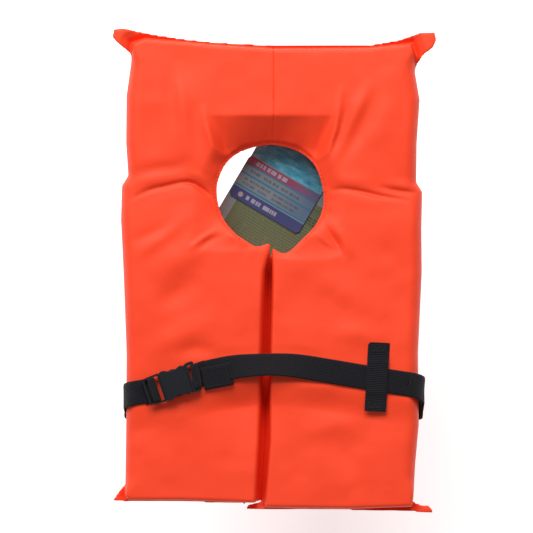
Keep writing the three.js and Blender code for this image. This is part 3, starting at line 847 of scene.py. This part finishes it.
def shell_field(body, fin, side, low, high, step):
    """The field on a grid of points: negative inside the shell."""
    axes = [np.arange(a, b, step) for a, b in zip(low, high)]
    x, y = np.meshgrid(axes[0], axes[1], indexing="ij")
    past_rim = -to_polygon(x, y, curved(NECK, 3, closed=True))
    middle, front, back = half_heights(x, y, past_rim)
    end = smooth(236, 258, np.abs(y))
    edge_round = SIDE_ROUND + (END_ROUND - SIDE_ROUND) * end
    outline = np.maximum(edge_round - to_polygon(x, y, body), 0) / edge_round
    rim = np.maximum(RIM_ROUND - past_rim, 0) / RIM_ROUND
    seam = np.maximum(SEAM_GAP - side * (x - SEAM_X), 0) / (SEAM_GAP + SEAM_OVERLAP)
    seam = np.where(y > NECK_Y, seam, 0)
    edges = outline ** PUFF + rim ** PUFF + seam ** PUFF
    # the sewn edge lies half way up, nearer the front at the top, and leans forward
    fin_middle = MIDDLE - 1.5 + 16 * smooth(228, 250, y)
    beyond = np.clip(-to_polygon(x, y, body), 0, 13)
    fin_middle += 1.3 * np.minimum(beyond, 5) + 0.62 * np.maximum(beyond - 5, 0)
    below_neck = smooth(50, 30, y)
    reach = np.minimum(to_polygon(x, y, fin), past_rim - 4)
    reach = np.where(y > NECK_Y, np.minimum(reach, side * (x - SEAM_X) + SEAM_OVERLAP), reach)
    field = np.empty([len(a) for a in axes], np.float32)
    for k, z in enumerate(axes[2]):
        up = z - middle
        tall = np.where(up > 0, front, back)
        depth = smooth(SLIT_OPEN_Z, SLIT_SHUT_Z, z)
        into = side * (x - slit_edge(y, side, depth))
        round_slit = SLIT_ROUND[side] if z > MIDDLE else BACK_SLIT_ROUND
        slit = np.maximum(round_slit - into, 0) / round_slit
        slit = np.where(y < NECK_Y, slit * below_neck, 0)
        total = (edges + slit ** PUFF + (np.abs(up) / tall) ** PUFF) ** (1 / PUFF)
        body_field = (total - 1) * np.minimum(tall, 22)
        fin_field = np.maximum(-reach, np.abs(z - fin_middle) - FIN_HALF)
        near = np.clip(0.5 + 0.5 * (fin_field - body_field) / FIN_BLEND, 0, 1)
        field[:, :, k] = fin_field * (1 - near) + body_field * near - FIN_BLEND * near * (1 - near)
    return field


def surface(field, low, step):
    """The points and quads where the field is zero."""
    grid = openvdb.FloatGrid(background=20.0)
    grid.copyFromArray(field)
    points, quads = grid.convertToQuads()
    return points * step + np.array(low), quads


def shell_half(name, body, fin, side):
    """One half of the shell, meshed on a grid that takes in all of it."""
    low_x, high_x = GRID_X[side]
    low, high = np.array([low_x, -300.0, -14.0]), np.array([high_x, 300.0, 78.0])
    points, quads = surface(shell_field(body, fin, side, low, high, GRID_STEP), low, GRID_STEP)
    shell = make_object(name, points, quads)
    evened = shell.modifiers.new("evened", "SMOOTH")
    evened.factor = 0.5
    evened.iterations = 4
    apply_modifiers(shell)
    return shell


nylon = nylon_material()
shell_left = shell_half("shell_left", LEFT_BODY, LEFT_FIN, -1)
shell_right = shell_half("shell_right", RIGHT_BODY, RIGHT_FIN, 1)
STOOD_FOR = {
    "left": ("collar_foam_front", "collar_foam_back", "chest_left_foam_front", "chest_left_foam_back"),
    "right": ("chest_right_foam_front", "chest_right_foam_back"),
}
for shell, hand in ((shell_left, "left"), (shell_right, "right")):
    shell.data.materials.append(nylon)
    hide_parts(f"collar_cover_{hand}", f"chest_cover_{hand}", *STOOD_FOR[hand])
    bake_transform(shell)

cloth = [BVHTree.FromPolygons([v.co / MM for v in s.data.vertices], [p.vertices for p in s.data.polygons])
         for s in (shell_left, shell_right)]


def on_cloth(points, from_above=True, lift=0.0):
    """Points in the plane, laid on the shell's front or back."""
    out = []
    for x, y in points:
        start, way = (Vector((x, y, 200)), Vector((0, 0, -1))) if from_above else (
            Vector((x, y, -200)), Vector((0, 0, 1)))
        hits = [tree.ray_cast(start, way)[0] for tree in cloth]
        heights = [h.z for h in hits if h is not None]
        if heights:
            z = max(heights) if from_above else min(heights)
            out.append((x, y, z + (lift if from_above else -lift)))
    return np.array(out)


# ---------- stitching on the shell ----------

orange_thread = thread_material("orange_thread", (0.72, 0.05, 0.02, 1))
black_thread = thread_material("black_thread", (0.016, 0.016, 0.02, 1))


def neck_stitches(hand, side):
    """A ring of stitches just outside the neck hole, on the front and on the back."""
    ring = np.array(curved(NECK, 8, closed=True))
    outward = np.stack([np.gradient(ring[:, 1]), -np.gradient(ring[:, 0])], 1)
    outward /= np.linalg.norm(outward, axis=1)[:, None]
    if to_polygon(*(ring[:1] + outward[:1] * 3).T, [tuple(p) for p in ring])[0] > 0:
        outward = -outward
    ring = ring + outward * HEM
    own = side * (ring[:, 0] - SEAM_X) > 2
    own &= ring[:, 1] > 36
    order = np.argsort(-ring[own][:, 1])
    line = ring[own][order]
    stitches = []
    for above in (True, False):
        laid = on_cloth(line, above, 0.1)
        stitches += stitch_line(laid, 3.0, 1.0, 0.35 if above else -0.35)
    piece = rods(f"neck_stitches_{hand}", stitches, 0.35, orange_thread)
    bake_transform(piece)


neck_stitches("left", -1)
neck_stitches("right", 1)

# ---------- the belt ----------

WEB_WIDTH = 28
WEB = 1.6
BELT_Z = SLAB + 1.1
BUCKLE = {"x": -118.5, "y": -129.8, "tilt": 18.5}
RIGHT_SIDE = box_mm("belt_right")[1][0] - WEB / 2
LEFT_SIDE = box_mm("belt_left")[0][0] + WEB / 2
BACK_Z = box_mm("belt_right")[0][2] + WEB / 2
INNER_Z = BACK_Z + 1.9
ALONG_Y = (0, 1, 0)
SOCKET_LOOP = [(34, 5.4), (33.2, 8.2), (31.6, 9.7), (29.4, 10), (27.2, 9.6), (25.7, 7.8),
               (25.5, 4.5), (26.4, 1.6), (29, 0), (36, 0), (44, 0)]
PLUG_LOOP = [(-17.8, 1.4), (-17.8, 6), (-18.6, 8.4), (-21.4, 9.2), (-24, 8.6), (-24.8, 6),
             (-26.6, 1.6), (-30, 0), (-36, 0)]
FRONT_BELT = [(-88, -119.4), (-70, -115), (-45, -110.2), (-12, -107.5), (20, -108.4), (60, -114.6),
              (100, -121.4), (140, -128), (157, -130.5)]

CROSSING = {"x": -8, "reach": 42, "lift": 5.2, "lean": 27}  # where the belt spans the slit


def across_at(tilt):
    """The way across a strap that lies at this tilt."""
    return (-math.sin(math.radians(tilt)), math.cos(math.radians(tilt)), 0)


def loop_line(points):
    """A strap's way round a buckle's bar, from (along, up) in the buckle's own frame."""
    flat = curved([(x, z) for x, z in points], 6)
    return turned([(x, 0, BELT_Z + z) for x, z in flat], BUCKLE)


def belt_twist(points):
    """The belt leans over as it crosses the slit, and its lower edge tucks under."""
    return math.radians(CROSSING["lean"]) * hump(points[:, 0] - CROSSING["x"], CROSSING["reach"])


def front_line():
    flat = np.array(curved(FRONT_BELT, 8))
    raised = CROSSING["lift"] * hump(flat[:, 0] - CROSSING["x"], CROSSING["reach"])
    return np.column_stack([flat, BELT_Z + raised])


webbing = webbing_material("webbing")
side_right = bent([
    (154, -130.1, BELT_Z), (157, -130.5, BELT_Z),
    ((RIGHT_SIDE, -133.2, BELT_Z), "corner"), (RIGHT_SIDE, -142, 45), (RIGHT_SIDE, -156, 17),
    ((RIGHT_SIDE, BACK_BELT_Y, BACK_Z), "corner"), (157, BACK_BELT_Y, BACK_Z),
    (-118, BACK_BELT_Y, BACK_Z),
])
side_left = bent([
    (-147, -138.2, BELT_Z), (-156, -139.6, BELT_Z),
    ((LEFT_SIDE, -142.4, BELT_Z), "corner"), (LEFT_SIDE, -147, 44), (LEFT_SIDE, -155, 15),
    ((LEFT_SIDE, BACK_BELT_Y, BACK_Z), "corner"), (-157, BACK_BELT_Y, BACK_Z),
    (-129, BACK_BELT_Y, BACK_Z), (-122, BACK_BELT_Y, INNER_Z), (-66, BACK_BELT_Y, INNER_Z),
])
belt_right = strap("belt_front_and_right", [
    strap_part(front_line(), ALONG_Y, WEB_WIDTH, WEB, belt_twist),
    strap_part(side_right, ALONG_Y, WEB_WIDTH, WEB),
    strap_part(loop_line(SOCKET_LOOP), across_at(BUCKLE["tilt"] - 8), WEB_WIDTH, WEB, step=0.8),
], webbing)
belt_left = strap("belt_left_end", [
    strap_part(loop_line(PLUG_LOOP), across_at(BUCKLE["tilt"]), WEB_WIDTH, WEB, step=0.8),
    strap_part(side_left, ALONG_Y, WEB_WIDTH, WEB),
], webbing)

# ---------- the stop tab and the keeper ----------

TAB = {"x": -66.5, "y": -121.3, "tilt": 10.9, "length": 33, "width": 26.4}
KEEPER = {"x": 118.9, "y": -122, "tilt": -3.2, "length": 80, "width": 25, "thick": 1.4}


def stop_tab():
    """The belt's end, folded over twice and sewn down as a stop for the buckle."""
    low, high = box_mm("stop_tab")[0][2], box_mm("stop_tab")[1][2]
    layer = (high - low) / 2
    end = TAB["length"] / 2
    middle = (low + high) / 2
    fold = [(-end, 0, low + layer / 2), (end - 2, 0, low + layer / 2), (end, 0, middle),
            (end - 2, 0, high - layer / 2), (-end + 0.6, 0, high - layer / 2)]
    line = turned(curved(fold, 6), TAB)
    rings = strap_part(line, across_at(TAB["tilt"]), TAB["width"], layer * 0.94, step=0.8)
    piece = strap("stop_tab_webbing", [rings], webbing)
    x, y, top = end - 4, TAB["width"] / 2 - 3.5, high + 0.05
    seams = [[(-x, -y), (x, -y)], [(x, -y), (x, y)], [(x, y), (-x, y)], [(-x, y), (-x, -y)]]
    stitches = []
    for seam in seams:
        stitches += stitch_line(turned([(px, py, top) for px, py in seam], TAB), 2.4, 0.9, 0.25)
    sewn = rods("stop_tab_stitches", stitches, 0.3, black_thread)
    return piece, sewn


def keeper():
    """The upright webbing that holds the belt against the panel, sewn down at both ends."""
    low, high = box_mm("belt_keeper")[0][2], box_mm("belt_keeper")[1][2]
    under, over = low + KEEPER["thick"] / 2, high - KEEPER["thick"] / 2
    half = KEEPER["length"] / 2
    side = [(half, under), (28, under), (23, under + 0.3), (18, over - 0.2), (14, over)]
    path = [(0, -y, z) for y, z in side] + [(0, y, z) for y, z in reversed(side)]
    line = turned(curved(path, 5), KEEPER)
    turn = math.radians(KEEPER["tilt"])
    across = (-math.cos(turn), -math.sin(turn), 0)
    return strap("belt_keeper_webbing",
                 [strap_part(line, across, KEEPER["width"], KEEPER["thick"], step=1.0)], webbing)


def bar_tack(name, node, end):
    """A dense zigzag of stitches across one end of the keeper."""
    z = box_mm(node)[0][2] + 0.1
    middle = end * (KEEPER["length"] / 2 - 7)
    rows = []
    for row in range(4):
        y = middle + (row - 1.5) * 1.7
        zigzag = [(x, y + (0.6 if i % 2 else -0.6), z) for i, x in enumerate(np.linspace(-9.5, 9.5, 16))]
        rows.append(turned(zigzag, KEEPER))
    piece = rods(name, rows, 0.32, black_thread, around=5)
    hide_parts(node)
    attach(piece, "chest_right")


tab, tab_stitches = stop_tab()
keeper_piece = keeper()
bar_tack("keeper_tack_upper", "keeper_stitch_upper", 1)
bar_tack("keeper_tack_lower", "keeper_stitch_lower", -1)
for piece, body, slot, nodes in (
    (belt_right, "chest_right", "webbing", ["belt_right"]),
    (belt_left, "plug", "webbing", ["belt_left"]),
    (tab, "chest_right", "webbing", ["stop_tab"]),
    (tab_stitches, "chest_right", "stitching", []),
    (keeper_piece, "chest_right", "webbing", ["belt_keeper"]),
):
    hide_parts(*nodes)
    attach(piece, body)

# ---------- the side-release buckle ----------
# Drawn with its length along X and its middle at the origin. Heights are from the CAD parts.

SLOT_HALF = 14.2
plastic = plastic_material()


def mirrored(upper):
    """An outline from its upper half, given from the right end to the left."""
    return upper + [(x, -y) for x, y in reversed(upper)]


def rectangle(low_x, high_x, half):
    return [(low_x, -half), (high_x, -half), (high_x, half), (low_x, half)]


def buckle_socket():
    low, high = box_mm("buckle_socket")[0][2], box_mm("buckle_socket")[1][2]
    upper = [(20.5, 15), (15.5, 17.6), (11.5, 15.6), (8, 14.4), (2.5, 14.4), (-1, 15.6), (-4.2, 17.8),
             (-8, 17.6), (-10.6, 16.2)]
    shape = rounded_outline(mirrored(upper), 2.6, 6)
    body = prism("buckle_socket_body", shape, low, high, BUCKLE, plastic)
    soften(body, 2.6, 6)
    loop_upper = [(31.2, 16.6), (29.5, 17.8), (22.5, 17.8), (18, 15)]
    loop = prism("loop", rounded_outline(mirrored(loop_upper), [1.5, 2.5, 3, 0, 0, 3, 2.5, 1.5], 6),
                 low + 2.2, high - 3.6, BUCKLE, plastic)
    combine(body, [loop], "UNION")
    cuts = [
        prism("slot", rounded_outline(rectangle(23.4, 27.6, SLOT_HALF), 1.2), low - 1, high + 1, BUCKLE),
        prism("mouth", rectangle(-12, 14, SLOT_HALF - 0.4), low + 2, high - 2, BUCKLE),
        prism("windows", rectangle(-1.8, 11.4, 20), low + 2.1, high - 2.1, BUCKLE),
    ]
    combine(body, cuts, "DIFFERENCE")
    soften(body, 0.45, 2, 50)
    return body


def buckle_plug():
    low, high = box_mm("buckle_plug")[0][2], box_mm("buckle_plug")[1][2]
    frame_shape = rounded_outline([(-31.3, -15.6), (-10.8, -17), (-10.8, 17), (-31.3, 15.6)], 2.0, 6)
    frame_piece = prism("buckle_plug_frame", frame_shape, low, high - 0.8, BUCKLE, plastic)
    guide_upper = [(12, 1.2), (10.5, 3), (-11.6, 4.6)]
    guide = prism("guide", mirrored(guide_upper), low + 0.8, high - 1.6, BUCKLE, plastic)
    combine(frame_piece, [guide], "UNION")
    cuts = [prism("slot", rounded_outline(rectangle(a, b, SLOT_HALF), 0.5), low - 1, high + 1, BUCKLE)
            for a, b in ((-28.8, -23.6), (-19, -13))]
    combine(frame_piece, cuts, "DIFFERENCE")
    relief = prism("relief", rectangle(-24.6, -18, SLOT_HALF), high - 1.6, high + 1, BUCKLE)
    combine(frame_piece, [relief], "DIFFERENCE")
    soften(frame_piece, 0.7, 3)
    return frame_piece


def buckle_prong(name, node, side):
    low, high = box_mm(node)[0][2], box_mm(node)[1][2]
    upper = [(-10.9, 10.0), (-2, 9.7), (6, 8.6), (9.5, 8.0), (11.3, 9.4), (11.4, 12.6), (9.6, 15.2),
             (5.5, 16.2), (1.4, 15.8), (-1.0, 13.4), (-5, 12.4), (-10.9, 12.8)]
    shape = rounded_outline([(x, side * y) for x, y in upper], 1.3, 4)
    if side < 0:
        shape = shape[::-1]
    piece = prism(name, shape, low, high, BUCKLE, plastic)
    soften(piece, 0.8, 3)
    return piece


for piece, node, body in (
    (buckle_socket(), "buckle_socket", "chest_right"),
    (buckle_plug(), "buckle_plug", "plug"),
    (buckle_prong("prong_upper_arm", "prong_upper", 1), "prong_upper", "prong_upper"),
    (buckle_prong("prong_lower_arm", "prong_lower", -1), "prong_lower", "prong_lower"),
):
    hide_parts(node)
    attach(piece, body)

# ---------- the tags ----------

TAG = {"x": -13.8, "y": 68.2, "tilt": -30.5}
TAG_EXTRA = 1.8  # the card's right edge reaches this much further
LEAFLET = {"x": -27.7, "y": 138.8, "tilt": -30.6}
LEAFLET_WIDTH, LEAFLET_LENGTH = 148, 105
LEAFLET_RISE = (-2.5, 11)  # its top edge lies aslant: how much higher its left and right ends are


def card(name, place, low_x, width, low_y, length, corner, z, thick, material, lift=None, flip=False,
         rise=(0, 0)):
    """A thin card with round corners. lift(x, y) raises it a little where it curls, and rise is
    how much higher the left and the right end of its top edge are."""
    across, up = np.linspace(0, 1, 25), np.linspace(0, 1, 37)
    v = up * length
    near = np.clip(np.maximum(corner - v, v - (length - corner)), 0, corner)
    inset = corner - np.sqrt(corner ** 2 - near ** 2)
    x = low_x + inset[:, None] + across[None, :] * (width - 2 * inset[:, None])
    y = (low_y + v)[:, None] + up[:, None] * (rise[0] + (rise[1] - rise[0]) * across[None, :])
    height = z + lift(x - low_x, y - low_y) if lift else np.full(x.shape, z)
    layers = []
    for extra in (thick, 0):
        flat = np.stack([x.ravel(), y.ravel(), (height + extra).ravel()], 1)
        layers.append(turned(flat, place))
    rows, columns = x.shape
    index = np.arange(rows * columns).reshape(rows, columns)
    quads = np.stack([index[:-1, :-1], index[:-1, 1:], index[1:, 1:], index[1:, :-1]], -1).reshape(-1, 4)
    under = quads[:, ::-1] + rows * columns
    border = np.concatenate([index[0, :-1], index[:-1, -1], index[-1, :0:-1], index[:0:-1, 0]])
    after = np.roll(border, -1)
    sides = np.stack([border + rows * columns, after + rows * columns, after, border], 1)
    v_uv = length - (y - low_y) if flip else y - low_y
    uv = np.stack([(x - low_x).ravel(), v_uv.ravel()], 1)
    return make_object(name, np.concatenate(layers), np.concatenate([quads, under, sides]).tolist(),
                       material, smooth=False, uv_mm=np.concatenate([uv, uv]))


def tag_curl(x, y):
    return 0.5 * (np.abs(x / TAG_WIDTH - 0.5) * 2) ** 4 + 0.6 * np.exp(-y / 14)


tag_z = box_mm("hang_tag")[0][2]
leaflet_z = box_mm("leaflet")[0][2]
tag = card("hang_tag_card", TAG, -TAG_WIDTH / 2, TAG_WIDTH + TAG_EXTRA, 0, TAG_LENGTH, 3.4, tag_z, 0.5,
           tag_material(), lift=tag_curl)
leaflet = card("leaflet_paper_sheet", LEAFLET, 0, LEAFLET_WIDTH, -LEAFLET_LENGTH, LEAFLET_LENGTH, 1,
               leaflet_z, 0.4, leaflet_material(), flip=True, rise=LEAFLET_RISE)
clear = clear_material()
bar_z = tag_z + 0.3
thread_line = [(0, TAG_LENGTH - 3, tag_z + 1.2), (0, TAG_LENGTH + 1, tag_z + 0.6),
               (0, TAG_LENGTH + 4.6, bar_z)]
bar_line = [(x, TAG_LENGTH + 5, bar_z) for x in (-5, 0, 5)]
tag_fastener = rods("tag_fastener_thread", [turned(thread_line, TAG), turned(bar_line, TAG)], 0.45, clear)
knot = turned([(-4, TAG_LENGTH - 2)], TAG)[0]
corner_hole = (LEAFLET["x"] + 3.4, LEAFLET["y"] - 0.6)
halfway = ((knot[0] + corner_hole[0]) / 2, (knot[1] + corner_hole[1]) / 2 + 3, 3.2)
leaflet_line = curved([(*knot, leaflet_z + 0.4), halfway, (*corner_hole, leaflet_z + 0.5)], 10)
leaflet_fastener = rods("leaflet_fastener_thread", [leaflet_line], 0.4, clear)


def side_label():
    """A small woven label, folded in half and sewn into the side."""
    low, high = box_mm("side_label")
    y, z = (low[1] + high[1]) / 2, (low[2] + high[2]) / 2
    line = bent([(high[0], y, z + 0.35), (low[0] + 0.8, y, z + 0.4), ((low[0] - 0.3, y, z), "corner"),
                 (low[0] + 0.8, y, z - 0.4), (high[0], y, z - 0.35)])
    return strap("side_label_fold", [strap_part(line, ALONG_Y, high[1] - low[1], 0.3, step=0.4)],
                 satin_material())


for piece, node, body, slot in (
    (tag, "hang_tag", "hang_tag", "tag_card"),
    (leaflet, "leaflet", "leaflet", "leaflet_paper"),
    (tag_fastener, "tag_fastener", "hang_tag", "clear_thread"),
    (leaflet_fastener, "leaflet_fastener", "collar", "clear_thread"),
    (side_label(), "side_label", "chest_left", "label_satin"),
):
    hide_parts(node)
    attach(piece, body)
